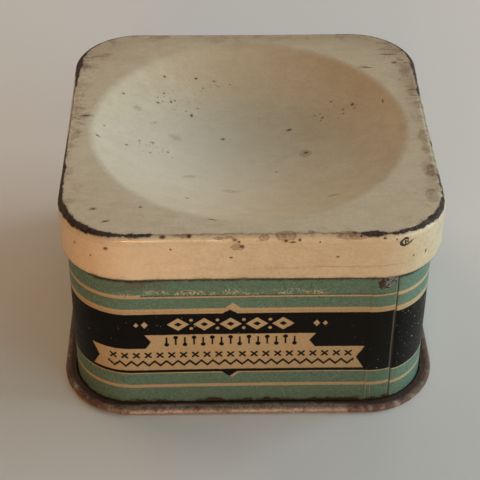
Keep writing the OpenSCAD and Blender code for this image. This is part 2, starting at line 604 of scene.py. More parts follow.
# On the upper banner pins stand in a row, heads up and heads down by turns
PIN_PITCH = 2.7
SHAFT_R = 0.14
PIN_LOW = 12.95
PIN_HIGH = 14.45
HEAD_IN = 0.07
HEAD_R = 0.36
pins_up = repeated(centred, PIN_PITCH)
pins_down = repeated(plus(centred, PIN_PITCH / 2), PIN_PITCH)
pin_shafts = any_of(less(size_of(pins_up), SHAFT_R), less(size_of(pins_down), SHAFT_R))
pins = any_of(
    most(pin_shafts, stripe(up, PIN_LOW, PIN_HIGH)),
    dot(pins_up, up, PIN_HIGH - HEAD_IN, HEAD_R),
    dot(pins_down, up, PIN_LOW + HEAD_IN, HEAD_R),
)
PIN_ROW_HALF = 10.1
pins = within(pins, 0, centred, PIN_ROW_HALF)

# On the lower banner lie a row of cross stitches and a zigzag
CROSS_PITCH = 1.75
CROSS_ROW = 10.95
CROSS_HALF = 0.55
cross_across = repeated(centred, CROSS_PITCH)
cross_up = less(up, CROSS_ROW)
crossed = any_of(size_of(plus(cross_across, cross_up)), apart(cross_across, cross_up))
crossed = weighed(crossed, 0.7, -0.16)
crossed = most(crossed, stripe(up, CROSS_ROW - CROSS_HALF, CROSS_ROW + CROSS_HALF))
crossed = within(crossed, 0, cross_across, CROSS_HALF)
ZIGZAG_LOW = 8.87
ZIGZAG_HIGH = 9.74
zigzag = calc("PINGPONG", centred, ZIGZAG_HIGH - ZIGZAG_LOW)
zigzag = less(zigzag, less(up, ZIGZAG_LOW))
zigzag = weighed(size_of(zigzag), 0.7, -0.17)
STITCH_ROW_HALF = 18.4
stitches = within(any_of(crossed, zigzag), 0, centred, STITCH_ROW_HALF)

cream_on_black = under(any_of(lozenges, dots, ends, banners), 0, INK_EDGE)
black_on_cream = under(any_of(pins, stitches), 0, INK_EDGE)

# The inks, mottled with age, and the order in which they lie on each other
mottle = printed.cloud(0.32, 2, detail=4, rough=0.8)
drift = printed.cloud(9, 3, detail=3)
cream_ink = mix(over(mottle, 0.5, 0.2), ink(166, 146, 108), ink(192, 172, 136))
green_ink = mix(over(mottle, 0.5, 0.14), ink(70, 98, 83), ink(114, 144, 128))
green_ink = stained(green_ink, over(drift, 0.5, 0.15), 0.6, ink(96, 122, 104))
black_ink = mix(over(mottle, 0.6, 0.12), BLACK_INK, ink(22, 20, 18))
INNER_LINE = 19.42
inner_line = under(apart(up, INNER_LINE), 0.1, 0.08)

colour = stained(cream_ink, inner_line, 0.35, ink(150, 118, 74))
colour = mix(ground, colour, green_ink)
colour = mix(under(band, 0, INK_EDGE), colour, black_ink)
colour = mix(cream_on_black, colour, cream_ink)
colour = mix(black_on_cream, colour, black_ink)

# Wear: pale and dark pecks, the upper line rubbed away, rust at the foot, and a painted shadow with some
# dirt just under the lid's edge
worn_spot = printed.ragged(wrap, 0.5, 0.22, 5)
worn_axes = axes(worn_spot)
worn_along, worn_up = worn_axes[0], worn_axes[1]
patchy = printed.cloud(2.4, 6, detail=4, rough=0.65)
fine = printed.cloud(0.28, 7, detail=3, rough=0.7)

pecks = most(printed.specks(1.3, 0.15, 0.16, 8), printed.specks(0.62, 0.075, 0.3, 12))
pecks = times(pecks, over(patchy, 0.46, 0.1))
right_pecks = most(printed.specks(0.9, 0.15, 0.45, 13), printed.specks(0.5, 0.08, 0.4, 14))
RIGHT_WALL = 26
right_reach = size_of(plus(along, GIRTH - RIGHT_WALL))
pecks = most(pecks, times(right_pecks, under(right_reach, 4.5, 2)))
colour = stained(colour, pecks, 0.85, ink(172, 170, 152))
dark_pecks = printed.specks(0.7, 0.11, 0.22, 9)
colour = stained(colour, dark_pecks, 0.5, ink(44, 40, 28))

WORN_FROM = 22.36
WORN_MIDDLE = 11.1
WORN_REACH = 18.5
line_along = weighed(fine, 5, weighed(patchy, 14, along))
worn_off = within(stripe(up, WORN_FROM, 22.8), WORN_MIDDLE, line_along, WORN_REACH)
colour = mix(under(worn_off, 0, 0.1), colour, green_ink)
rub_zone = within(stripe(up, WORN_FROM, 22.52), WORN_MIDDLE, line_along, WORN_REACH)
rub = times(under(rub_zone, 0, 0.06), over(patchy, 0.36, 0.14))
colour = stained(colour, rub, 0.85, ink(50, 42, 26))
scrape_zone = within(stripe(worn_up, 22.6, 23.5), -4, worn_along, 15)
scrapes = times(under(scrape_zone, 0, 0.25), over(fine, 0.54, 0.06))
scrapes = times(scrapes, over(patchy, 0.52, 0.05))
colour = mix(scrapes, colour, ink(204, 198, 166))

brown_rubs = nearest(worn_spot, (
    (-17.2, 24.6, 3.4, 1.2), (-13.4, 24.3, 1.4, 0.9), (-18.8, 23.7, 0.9, 0.3),
    (-9.4, 23.2, 0.55, 0.35), (-20.6, 25.6, 3.0, 0.4), (21.2, 1.2, 1.0, 0.9),
))
rubbed = times(under(brown_rubs, 0.8, 0.5), over(patchy, 0.42, 0.2))
colour = stained(colour, rubbed, 0.6, ink(92, 74, 50))

foot = under(less(worn_up, weighed(patchy, 2.8, 0.2)), 0, 0.25)
colour = stained(colour, foot, 0.92, mix(fine, DARK_RUST, RUST))
# A dark band just under the lid's edge: painted shadow of the lid, with some dirt in it
lid_shadow_and_dirt = under(stripe(weighed(patchy, 0.9, worn_up), 25.62, 26.7), 0, 0.16)
colour = stained(colour, lid_shadow_and_dirt, 0.8, ink(44, 44, 32))

scratches = nearest(wrap, (
    (-20.6, 5.5, 2.6, 0.07, -14), (-19.6, 4.9, 2.2, 0.05, -12), (17.5, 4.5, 0.08, 3.0),
    (18.2, 3.2, 0.06, 1.6, 3), (28.9 - GIRTH, 17.2, 0.07, 0.9, 4), (5.0, 3.1, 0.05, 1.1, 20),
    (1.6, 22.9, 0.3, 0.12, 60), (12.6, 6.0, 0.9, 0.06, 40),
))
scratched = under(scratches, 1, 0.3)
colour = stained(colour, scratched, 0.45, ink(170, 168, 140))

# The seam: a painted highlight along its outer fold, painted shade in the groove beside it, and a bare
# chip at the top
seam_up = stripe(worn_up, 1.6, 30)
fold_highlight = within(seam_up, SEAM_EDGE - 0.12, along, 0.08)
fold_highlight = times(under(fold_highlight, 0, 0.07), over(fine, 0.4, 0.15))
colour = stained(colour, fold_highlight, 0.55, ink(138, 122, 98))
# Painted shade in the seam's groove
groove = under(within(seam_up, SEAM_EDGE + 0.2 - GIRTH, along, 0.2), 0, 0.1)
colour = stained(colour, groove, 0.85, ink(46, 36, 24))
chip_spot = printed.ragged(wrap, 0.9, 0.5, 10)
chip_mark = nearest(chip_spot, (
    (18.9, 24.3, 0.75, 1.1), (19.6, 24.0, 0.7, 0.7), (19.8, 25.3, 1.2, 0.9, 20),
    (20.5, 25.1, 0.5, 1.0), (20.0, 27.0, 1.9, 1.5),
))
chip = under(chip_mark, 1, 0.12)
chip_rust = under(weighed(patchy, 2.6, worn_along), 20.3, 0.5)
chip_colour = mix(over(fine, 0.5, 0.07), ink(40, 36, 36), ink(176, 172, 168))
chip_colour = mix(chip_rust, chip_colour, mix(fine, DARK_RUST, ink(108, 88, 68)))
colour = mix(chip, colour, chip_colour)

# Round the mouth, under the lid, the sheet was left unprinted
PRINT_END = 31.6
mouth = over(up, PRINT_END, 0.1)
colour = mix(mouth, colour, BARE_TIN)

# The right half is painted a little darker all over, as painted shade where the light falls off, and the
# lower half is a little darker and bluer towards the bottom
right_half_shade = over(along, 9, 10)
colour = stained(colour, right_half_shade, 0.16, ink(30, 34, 24))
lower_darkening = under(up, 8, 7)
colour = stained(colour, lower_darkening, 0.2, ink(34, 44, 44))
roughness = weighed(patchy, 0.3, 0.3)
roughness = weighed(foot, 0.35, roughness)
printed.relief(mottle, 0.02)
printed.relief(plus(foot, chip), -0.03)
printed.shader.inputs["Specular IOR Level"].default_value = INK_SHINE
printed.finish(colour, roughness, times(most(chip, mouth), 0.6))

# Plain tinplate on the inner side of the sheet, a little dulled and spotted
inside_tin = Finish("inside_tinplate")
dulled = inside_tin.cloud(5, 21, detail=5, rough=0.65)
grain = inside_tin.cloud(0.5, 22, detail=3, rough=0.7)
tin_colour = mix(over(dulled, 0.5, 0.16), ink(168, 164, 156), ink(142, 134, 122))
tin_colour = mix(inside_tin.specks(2.2, 0.4, 0.16, 23, soft=0.8), tin_colour, ink(96, 62, 36))
inside_tin.relief(grain, 0.006)
inside_tin.finish(tin_colour, weighed(dulled, 0.35, 0.2), 0.85)

body_materials = (printed.material, inside_tin.material)
piece_from(body, "tin_body", body_materials, "tin", "body_wrap")

# ---------------------------------------------------------------------------
# The bottom: a tinplate pressing, left unprinted. Its edge is folded up and over
# the body's flange and hammered flat, and its floor is pressed up inside.
# ---------------------------------------------------------------------------
RIM_UP = 1.2
RIM_R = RIM_UP / 2
RIM_BEND_AT = 1.4
RIM_OFF_WALL = 0.15
STEP_IN = 0.8
STEP_R = 0.4
FLOOR_UP = 0.8
FLOOR_R = 0.1
floor_from = STEP_IN + FLOOR_R
rim_profile = joined(
    run((RIM_OFF_WALL, RIM_UP), (RIM_BEND_AT, RIM_UP), 5),
    arc((RIM_BEND_AT, RIM_R), RIM_R, 90, -90, 14),
    run((RIM_BEND_AT, 0), (STEP_R - STEP_IN, 0), 6),
    arc((STEP_R - STEP_IN, STEP_R), STEP_R, 270, 180, 6),
    run((-STEP_IN, STEP_R), (-STEP_IN, FLOOR_UP - FLOOR_R), 2),
    arc((-floor_from, FLOOR_UP - FLOOR_R), FLOOR_R, 0, 90, 3),
    run((-floor_from, FLOOR_UP), (-CORNER_R, FLOOR_UP), 10),
)

bottom = bmesh.new()
drawn_round(bottom, rim_profile, even_sides, even_corners)


def floor_edges(sheet):
    """The front and back edges of the square opening that is left in the floor."""
    opening = [edge for edge in sheet.edges if edge.is_boundary and edge.verts[0].co.z < MM]
    return [edge for edge in opening if abs(edge.verts[0].co.y - edge.verts[1].co.y) < 0.01 * MM]


bmesh.ops.grid_fill(bottom, edges=floor_edges(bottom))
face_outwards(bottom)
wrap_print(bottom, lambda along, out, up: out, GIRTH / 2)

RIM_BATTER = 0.07
RIM_NICKS = 0.05
RIM_DIP = 0.07
FLOOR_WAVE = 0.05


def rim_change(along, out, up, spot):
    """The hammered rim: uneven round its edge, never wider or lower than it was pressed."""
    level = Vector((spot.x, spot.y, 0))
    push = sink(along) * 0.3
    on_rim = max(0, min(1, out - 0.6))
    push -= on_rim * RIM_BATTER * (0.55 + 0.45 * uneven(level, 5, 3))
    push -= on_rim * RIM_NICKS * wavering(level, 1.6, 4)
    lift = 0
    if up > RIM_R and out > 0.2:
        lift = -RIM_DIP * wavering(level, 3.5, 5)
    if out < -1.0:
        lift = FLOOR_WAVE * uneven(level, 16, 6)
    return push, lift


nudge(bottom, rim_change)
thicken(bottom)

rusty = Finish("rusty_tinplate")
blotch = rusty.cloud(2.2, 31, detail=5, rough=0.7)
crumb = rusty.cloud(0.32, 32, detail=4, rough=0.8)
pitted = rusty.cloud(0.8, 33, detail=4, rough=0.7)
streak_spot = vector("MULTIPLY", rusty.spot, (1, 1, 3))
streak = rusty.cloud(1.1, 34, detail=4, rough=0.7, spot=streak_spot)
metal = mix(over(crumb, 0.5, 0.1), ink(122, 108, 98), ink(202, 186, 172))
metal = stained(metal, over(streak, 0.5, 0.08), 0.7, ink(152, 130, 114))
crusted = nearest(rusty.flat_spot, (
    (22.5, -24.5, 8.5, 7.0), (27.5, -12, 5, 13), (-27.5, -8, 4, 22), (-24.5, -25.5, 5, 4),
    (27, 20, 6, 12), (-22, 27, 14, 5), (10, 28, 12, 4),
))
crust = times(under(crusted, 1, 0.5), 0.21)
crust = weighed(crumb, 0.5, crust)
crust = over(plus(blotch, crust), 0.85, 0.07)
crust_colour = mix(over(pitted, 0.5, 0.1), ink(52, 36, 24), ink(106, 70, 44))
metal = stained(metal, crust, 0.9, crust_colour)
height = axes(rusty.spot)[2]
# The bottom is made darker along its lowest edge
low_edge_darkening = under(weighed(crumb, 0.4, height), 0.36, 0.16)
metal = stained(metal, low_edge_darkening, 0.7, ink(58, 44, 34))

# Rust and dirt lie thick in the corner between the rim and the wall
rim_out = axes(rusty.wrapped())[1]
in_corner = weighed(under(crusted, 1, 0.5), -0.5, rim_out)
in_corner = under(weighed(blotch, 1.6, in_corner), 1.45, 0.15)
in_corner = times(in_corner, over(height, 1.0, 0.05))
metal = stained(metal, in_corner, 0.9, mix(crumb, ink(30, 18, 10), ink(70, 42, 24)))
rusty.relief(crumb, 0.05)
rusty.relief(pitted, 0.07)
shine = weighed(most(crust, in_corner), -0.4, 0.45)
rusty.finish(metal, weighed(crust, 0.25, 0.5), shine)

bottom_materials = (rusty.material, inside_tin.material)
piece_from(bottom, "tin_bottom", bottom_materials, "tin", "bottom_plate")

# ---------------------------------------------------------------------------
# The lid: one pressing, enamelled cream outside and bare tinplate inside. Its top
# is dished like a saucer, and the skirt's lower edge is turned in and slips on.
# ---------------------------------------------------------------------------
LID_TOP = 34.0
LID_BOTTOM = 26.2
LID_SHIFT = 0.2
LID_SLIM = 0.08
LID_STRETCH = 1.008
LID_SIDE = 1.1
LID_CORNER_R = CORNER_R + LID_SIDE
SHOULDER_R = 1.0
SHOULDER_START = LID_SIDE - SHOULDER_R
DISH_R = 24.1
BALL_R = 47.93
LIP_R = 2.8
DISH_ROWS = 36
LIP_ROWS = 10

SKIRT_FOLD_R = 0.34
SKIRT_HEM = 0.5
skirt_fold_at = LID_BOTTOM + SKIRT_FOLD_R
skirt_hem_in = LID_SIDE - 2 * SKIRT_FOLD_R
lid_profile = joined(
    arc((SHOULDER_START, LID_TOP - SHOULDER_R), SHOULDER_R, 90, 0, 12),
    run((LID_SIDE, LID_TOP - SHOULDER_R), (LID_SIDE, skirt_fold_at), 18),
    arc((LID_SIDE - SKIRT_FOLD_R, skirt_fold_at), SKIRT_FOLD_R, 0, -180, 8),
    run((skirt_hem_in, skirt_fold_at), (skirt_hem_in, skirt_fold_at + SKIRT_HEM), 2),
)

# The dish is part of a ball, and a lip that touches both the ball and the flat leads into it
ball_up = (BALL_R ** 2 - DISH_R ** 2) ** 0.5
lip_at = ((BALL_R + LIP_R) ** 2 - (ball_up + LIP_R) ** 2) ** 0.5
lip_turn = degrees(asin(lip_at / (BALL_R + LIP_R)))
dish_points = arc((0, LID_TOP + ball_up), BALL_R, -90, -90 + lip_turn, DISH_ROWS)
lip_points = arc((lip_at, LID_TOP - LIP_R), LIP_R, 90 + lip_turn, 90, LIP_ROWS)


def plate_across(sheet, profile, columns):
    """A round plate: a profile of (radius, up) spun about the tin's axis."""
    chain = chained(sheet, [(radius, 0, up) for radius, up in profile])
    swept(sheet, chain, (0, 0, 0), angle=2 * pi, steps=columns, use_merge=True)
    bmesh.ops.remove_doubles(sheet, verts=sheet.verts, dist=WELD)


ROUND_COLUMNS = 240
lid = bmesh.new()
drawn_round(lid, lid_profile, even_sides, even_corners)
plate_across(lid, joined(dish_points, lip_points), ROUND_COLUMNS)


def lid_loops(sheet):
    """The two open edges on the lid's flat top."""
    level = (LID_TOP - 0.01) * MM
    return [edge for edge in sheet.edges if edge.is_boundary and min(v.co.z for v in edge.verts) > level]


made = bmesh.ops.bridge_loops(lid, edges=lid_loops(lid))
rungs = [edge for edge in made["edges"] if edge.is_valid]
bmesh.ops.subdivide_edges(lid, edges=rungs, cuts=4)
face_outwards(lid)


def lid_height(along, out, up):
    """Millimetres from the start of the shoulder, down over it and on down the skirt."""
    past = out - SHOULDER_START
    if up > LID_TOP - SHOULDER_R and past > 0:
        return SHOULDER_R * asin(min(1, past / SHOULDER_R))
    if past <= 0:
        return past
    return SHOULDER_R * pi / 2 + LID_TOP - SHOULDER_R - up


wrap_print(lid, lid_height, 2 * (SIDE + pi / 2 * LID_CORNER_R), LID_CORNER_R)

SKIRT_BOW = 0.05
SKIRT_RIPPLE = 0.02
EDGE_WAVE = 0.09
TOP_SAG = 0.05
TOP_RIPPLE = 0.015


def lid_change(along, out, up, spot):
    """The lid in use: sides a little bowed, a faintly wavy skirt, and a top that has gone soft."""
    level = Vector((spot.x, spot.y, 0))
    on_side = max(0, min(1, (out - SHOULDER_START + 1.5) / 2))
    down = max(0, min(1, (LID_TOP - up) / 3))
    push = (sink(along) - LID_SLIM) * on_side
    push -= on_side * down * SKIRT_BOW * wavering(spot, 9, 11)
    push -= on_side * down * SKIRT_RIPPLE * wavering(spot, 2.5, 12)
    lift = EDGE_WAVE * max(0, min(1, (28 - up) / 1.5)) * wavering(level, 7, 13)
    lift -= (1 - down) * TOP_SAG * wavering(level, 10, 14)
    lift -= (1 - down) * TOP_RIPPLE * wavering(level, 3, 15)
    return push, lift


nudge(lid, lid_change)
bmesh.ops.scale(lid, verts=lid.verts, vec=(1, LID_STRETCH, 1))
bmesh.ops.translate(lid, verts=lid.verts, vec=(LID_SHIFT * MM, 0, 0))
thicken(lid)


def track(value, stops):
    """Two values that follow a third. A stop is (value, first, second), straight between stops."""
    low, high = stops[0][0], stops[-1][0]
    inputs = {"Value": value, "From Min": low, "From Max": high}
    share = add_node(value.id_data, "ShaderNodeMapRange", inputs)
    made = add_node(value.id_data, "ShaderNodeValToRGB", {"Fac": share.outputs[0]})
    ramp = made.color_ramp
    while len(ramp.elements) < len(stops):
        ramp.elements.new(1.0)
    for element, (at, first, second) in zip(ramp.elements, stops):
        element.position = (at - low) / (high - low)
        element.color = (first, second, 0, 1)
    both = add_node(value.id_data, "ShaderNodeSeparateColor", {0: made.outputs["Color"]})
    return both.outputs[0], both.outputs[1]


enamel = Finish("cream_enamel")
# Places on the skirt and on the top, shifted a little to where the marks lie
around = vector("ADD", enamel.wrapped(), (0.28, -0.08, 0))
top_spot = vector("ADD", enamel.flat_spot, (0, 0.28, 0))
around_axes = axes(around)
lid_along, lid_down = around_axes[0], around_axes[1]
broad = enamel.cloud(14, 41, detail=3)
milky = enamel.cloud(2.6, 42, detail=5, rough=0.65)
grit = enamel.cloud(0.3, 43, detail=4, rough=0.8)
smear_spot = vector("MULTIPLY", enamel.spot, (0.35, 1.2, 1.2))
smear = enamel.cloud(1.0, 50, detail=4, rough=0.7, spot=smear_spot)

cream = mix(over(broad, 0.5, 0.2), ink(210, 197, 165), ink(218, 206, 176))
cream = stained(cream, over(milky, 0.53, 0.12), 0.55, ink(200, 185, 150))
cream = stained(cream, over(smear, 0.55, 0.08), 0.3, ink(192, 176, 144))
cream = stained(cream, over(grit, 0.56, 0.08), 0.4, ink(184, 166, 132))

# The top has browned towards the back and the right, mostly on its flat margin. The left of the dish is
# painted paler, as painted light where its slope faces the window
on_top = under(lid_down, 1.3, 0.7)
on_piece = axes(enamel.spot)
far_right = weighed(on_piece[0], 0.6, times(on_piece[1], 0.9))
margin = weighed(over(lid_down, -2.6, 1.6), 0.75, 0.25)
browned = times(over(far_right, 11, 16), times(margin, on_top))
cream = stained(cream, browned, 0.68, ink(168, 150, 118))
back_corners = nearest(enamel.flat_spot, ((-24, 23, 7, 5), (23, 24, 8, 4)))
dulled_back = times(under(back_corners, 0.9, 0.6), under(lid_down, 1.0, 1.0))
cream = stained(cream, dulled_back, 0.3, ink(160, 142, 110))
# Painted light: the left of the dish made paler where its slope faces the window
lit_left_patch = nearest(enamel.flat_spot, ((-10, -3, 14, 17),))
cream = stained(cream, under(lit_left_patch, 0.8, 0.5), 0.5, ink(232, 224, 200))

# Grime that gathers along the turned edges of the top, thickest at the corners
HALF_ROUND = 103.2
near_edge = over(lid_down, -1.8, 2.0)
wear_along, _ = track(lid_along, (
    (-HALF_ROUND, 0.7, 0), (-85, 1.0, 0), (-70, 0.8, 0), (-52, 1.0, 0), (-40, 0.6, 0), (-22, 0.1, 0),
    (0, 0, 0), (20, 0.1, 0), (36, 0.9, 0), (52, 0.7, 0), (62, 0.8, 0), (68, 1.0, 0), (84, 0.9, 0),
    (HALF_ROUND, 0.7, 0),
))
grime = weighed(near_edge, 0.13, weighed(grit, 0.25, milky))
grime = weighed(wear_along, 0.14, less(grime, 0.1))
grime = times(over(grime, 0.79, 0.07), times(near_edge, on_top))
colour = stained(cream, grime, 0.55, ink(132, 108, 76))

# Rusty streaks lie on the flat margin, at the back corners and down both sides
streaked = nearest(top_spot, (
    (24.5, 21, 4.5, 7.5), (-25, 20, 4.5, 6), (-26, 3, 2.6, 9), (25.5, 13.5, 2.4, 2.5), (26.6, 8, 1.4, 8),
))
streaks = enamel.cloud(0.5, 58, detail=4, rough=0.75, spot=smear_spot)
streaks = weighed(under(streaked, 0.8, 0.4), 0.1, streaks)
streaks = weighed(over(lid_down, -1.2, 2.0), 0.08, streaks)
streaks = times(over(streaks, 0.72, 0.05), under(streaked, 1.1, 0.2))
colour = stained(colour, streaks, 0.75, ink(92, 68, 44))

# The skirt is mottled with handling; its right is painted darker as painted shade, and its left is
# painted paler as a painted reflection
on_skirt = over(lid_down, 1.7, 0.6)
mottled = over(enamel.cloud(0.6, 59, detail=5, rough=0.75), 0.54, 0.1)
mottled = times(mottled, weighed(over(broad, 0.5, 0.2), 0.14, 0.12))
colour = stained(colour, mottled, on_skirt, ink(150, 108, 72))
skirt_right_shade = times(over(lid_along, 8, 14), on_skirt)
colour = stained(colour, skirt_right_shade, 0.14, ink(130, 100, 66))
# Painted reflection: a pale warm patch on the left of the skirt
skirt_left_reflection = under(nearest(around, ((-22, 5, 16, 8),)), 0.8, 0.6)
colour = stained(colour, times(skirt_left_reflection, on_skirt), 0.42, ink(242, 218, 182))

# Stains: speckled brown patches, some with a darker ring
torn = enamel.ragged(top_spot, 0.8, 0.4, 44)
torn_around = enamel.ragged(around, 0.7, 0.35, 45)
speckled = weighed(over(grit, 0.5, 0.12), 0.65, 0.35)
top_stains = nearest(torn, (
    (9.2, 0.55, 0.85, 0.85), (12.15, -15.0, 0.9, 0.4, 8), (26.2, -11.9, 0.9, 1.8, 12),
    (26.7, -3.6, 0.6, 2.0), (26.6, -6.6, 0.6, 1.2), (26.4, 9.2, 0.6, 0.9),
    (19.3, 16.9, 0.9, 0.5), (-25.0, 3.0, 1.4, 0.5), (-23.6, 21.0, 1.9, 0.5, 20),
    (-26.2, 18.0, 0.5, 1.0), (-25.9, -1.5, 0.6, 0.4), (23.9, 20.9, 1.6, 0.3),
    (25.9, 15.4, 0.9, 1.1), (26.0, -18.6, 0.9, 1.7), (25.0, 13.0, 0.4, 0.3),
))
top_stained = times(under(top_stains, 0.85, 0.35), speckled)
colour = stained(colour, top_stained, 0.62, ink(132, 98, 62))
ring = under(apart(top_stains, 0.92), 0.08, 0.1)
ring = times(ring, over(milky, 0.46, 0.1))
colour = stained(colour, ring, 0.5, ink(98, 66, 36))
pale_patch = nearest(torn, (
    (-11.2, 4.0, 1.2, 0.8, -25), (-17.2, 8.8, 0.8, 0.5), (-14.6, 6.5, 0.7, 0.4, 30),
    (-2.6, -9.8, 1.6, 0.6, -10), (-9.0, -6.2, 1.2, 0.5, 15),
))
faint = times(under(pale_patch, 0.8, 0.4), speckled)
colour = stained(colour, faint, 0.6, ink(158, 130, 104))
edge_stains = nearest(torn_around, (
    (4.7, 0.4, 1.3, 0.95), (1.6, 0.8, 0.6, 0.5), (8.2, -0.15, 0.45, 0.45),
    (-2.1, 2.27, 0.9, 0.55), (13.0, 0.06, 1.7, 0.25), (39.4, -0.38, 1.5, 0.8),
    (14.2, 0.6, 2.4, 0.5), (-9.6, 0.35, 1.5, 0.3), (-4.0, 0.8, 1.4, 0.25),
))
edge_stained = times(under(edge_stains, 0.85, 0.4), speckled)
colour = stained(colour, edge_stained, 0.8, ink(122, 84, 48))
edge_ring = under(apart(edge_stains, 0.92), 0.08, 0.1)
colour = stained(colour, edge_ring, 0.55, ink(88, 54, 28))

# Pinholes with rust in them, one by one and in loose groups
pits = nearest(enamel.ragged(top_spot, 0.3, 0.07, 51), (
    (6.94, 6.9, 0.32, 0.17, 10), (9.25, 0.6, 0.24, 0.2), (-8.68, 9.94, 0.16, 0.26),
    (-3.7, 5.2, 0.2, 0.17), (-22.9, -1.7, 0.26, 0.14, -30), (-14.7, 1.44, 0.18, 0.13),
    (-18.6, -1.2, 0.17, 0.12), (-14.1, 11.25, 0.18, 0.12), (-19.5, 10.9, 0.15, 0.12),
    (-13.1, 16.9, 0.16, 0.12), (-8.0, 17.75, 0.18, 0.13), (-12.0, 12.1, 0.13, 0.18),
    (-22.1, 1.65, 0.13, 0.1), (-9.2, -14.2, 0.24, 0.12), (-22.4, -21.0, 0.34, 0.17, 10),
    (-20.5, -23.9, 0.4, 0.13, 12), (-15.7, -20.7, 0.16, 0.12), (-5.6, -23.7, 0.5, 0.08, -15),
    (17.1, 9.5, 0.18, 0.22), (21.7, 7.8, 0.1, 0.3), (12.3, 8.4, 0.18, 0.1),
    (26.9, -11.3, 0.24, 0.2), (20.1, 16.8, 0.75, 0.08, -8), (23.9, 20.9, 1.1, 0.09, -4),
    (24.6, 18.3, 0.35, 0.2), (4.4, -3.9, 0.12, 0.1), (-25.0, 3.1, 0.5, 0.18, 8),
))
colour = stained(colour, under(pits, 1.8, 0.8), 0.35, ink(120, 88, 52))
colour = stained(colour, under(pits, 1.1, 0.45), 0.9, ink(72, 48, 26))
groups = nearest(top_spot, (
    (-10.8, 12.6, 4.2, 3.0), (14.2, 9.6, 4.6, 3.4), (-15.5, -0.5, 5.0, 2.4), (-6, 16.5, 5, 2),
    (25, 19, 3, 4), (-25.2, 19, 2.2, 5), (-25.4, 2.5, 2.2, 2),
))
flecks = most(enamel.specks(0.9, 0.24, 0.35, 52), enamel.specks(0.5, 0.12, 0.35, 53))
flecks = times(flecks, under(groups, 0.9, 0.25))
colour = stained(colour, flecks, 0.7, ink(96, 70, 42))
pinpricks = enamel.specks(1.3, 0.1, 0.12, 46)
colour = stained(colour, pinpricks, 0.55, ink(110, 88, 58))
side_pits = nearest(enamel.ragged(around, 0.3, 0.06, 54), (
    (-20.4, 2.56, 0.28, 0.22, -25), (-25.9, 3.66, 0.15, 0.19), (-22.9, 4.56, 0.12, 0.14),
    (-11.3, 2.56, 0.14, 0.16), (-2.9, 4.16, 0.22, 0.14), (-1.4, 2.21, 0.28, 0.22),
    (-2.4, 1.05, 0.25, 0.16), (-1.8, 1.38, 0.16, 0.16), (-12.4, 0.5, 0.36, 0.24),
    (-8.7, 0.39, 0.26, 0.3), (4.7, 1.27, 0.2, 0.19), (5.6, 1.5, 0.4, 0.13),
    (6.6, 1.16, 0.2, 0.18), (14.2, 0.06, 0.24, 0.24), (15.1, 0.61, 0.14, 0.16),
    (9.4, 1.5, 0.12, 0.14), (25.4, 5.21, 0.16, 0.27), (23.1, 4.96, 0.1, 0.18),
    (12, 4.16, 0.2, 0.13), (18.4, 0.95, 0.2, 0.14), (20.1, 1.3, 0.12, 0.14),
))
colour = stained(colour, under(side_pits, 1.2, 0.5), 0.9, ink(70, 44, 22))

# Bare bands where the enamel has worn off the shoulder, widest at the front corners
chipped_around = enamel.ragged(enamel.ragged(around, 1.3, 0.32, 47), 0.3, 0.16, 49)
chipped_axes = axes(chipped_around)
chipped_along, chipped_down = chipped_axes[0], chipped_axes[1]
left_width, left_middle = track(chipped_along, (
    (-HALF_ROUND, 0.16, 0.5), (-95, 0.2, 0.5), (-88, 0.26, 0.45), (-80, 0.34, 0.42), (-74, 0.42, 0.4),
    (-69, 0.62, 0.3), (-66.5, 0.4, 0.42), (-63, 0.16, 0.5), (-60, 0.0, 0.6), (-51, 0.0, 0.7),
    (-48.5, 0.12, 0.8), (-44, 0.22, 0.8), (-40, 0.42, 0.72), (-36, 0.4, 0.68), (-32, 0.48, 0.55),
    (-29, 0.58, 0.42), (-25, 0.58, 0.36), (-21.5, 0.44, 0.22), (-18.8, 0.3, 0.12), (-17.5, 0.1, 0.12),
    (-17.1, 0.34, 0.18), (-15.4, 0.38, 0.2), (-14.1, 0.26, 0.2), (-13.6, 0.0, 0.2), (0, 0.0, 0.2),
))
right_width, right_middle = track(chipped_along, (
    (0, 0.0, 0.2), (14.9, 0.0, 0.15), (15.5, 0.42, 0.15), (17, 0.6, 0.15), (18.5, 0.3, 0.15),
    (19.1, 0.06, 0.2), (19.8, 0.26, 0.2), (22, 0.3, 0.22), (25, 0.4, 0.36), (28, 0.5, 0.48),
    (30.5, 0.42, 0.5), (32.5, 0.34, 0.5), (33.4, 0.1, 0.5), (34, 0.3, 0.5), (34.9, 0.0, 0.5),
    (35.7, 0.34, 0.5), (36.9, 0.08, 0.5), (38.2, 0.28, 0.55), (39.2, 0.0, 0.6), (45.4, 0.0, 0.65),
    (46.6, 0.25, 0.65), (47.8, 0.0, 0.6), (59.5, 0.0, 0.5), (61, 0.36, 0.45), (62.8, 0.1, 0.5),
    (65.6, 0.32, 0.5), (69.3, 0.42, 0.48), (74, 0.4, 0.45), (80, 0.34, 0.42), (88, 0.26, 0.45),
    (HALF_ROUND, 0.16, 0.5),
))
band_width = plus(left_width, right_width)
band_middle = plus(left_middle, less(right_middle, 0.2))
bands = less(apart(chipped_down, band_middle), band_width)
thin = apart(lid_down, 0.4)
thin = weighed(thin, -0.16, enamel.cloud(0.5, 48, detail=5, rough=0.75))
by_band = times(under(bands, 0.6, 0.5), over(band_width, 0.1, 0.1))
thin = weighed(by_band, 0.05, thin)
thin = weighed(wear_along, 0.07, thin)
chips = most(under(bands, 0, 0.04), over(thin, 0.655, 0.015))

# A chip that has lifted in a curl, and the cracks that run from it
curl_spot = enamel.ragged(around, 0.5, 0.12, 57)
curl = nearest(curl_spot, ((21.45, 2.0, 0.66, 0.6),))
curl = apart(curl, 1)
curl = most(curl, weighed(lid_along, 1.2, -26.0))
crack = nearest(curl_spot, (
    (21.45, 2.1, 0.1, 0.4, -10), (21.7, 1.95, 0.34, 0.1, 30), (22.2, 2.3, 0.55, 0.1, -40),
))
curled = any_of(curl, times(crack, 0.24))
chips = most(chips, under(curled, 0.31, 0.06))

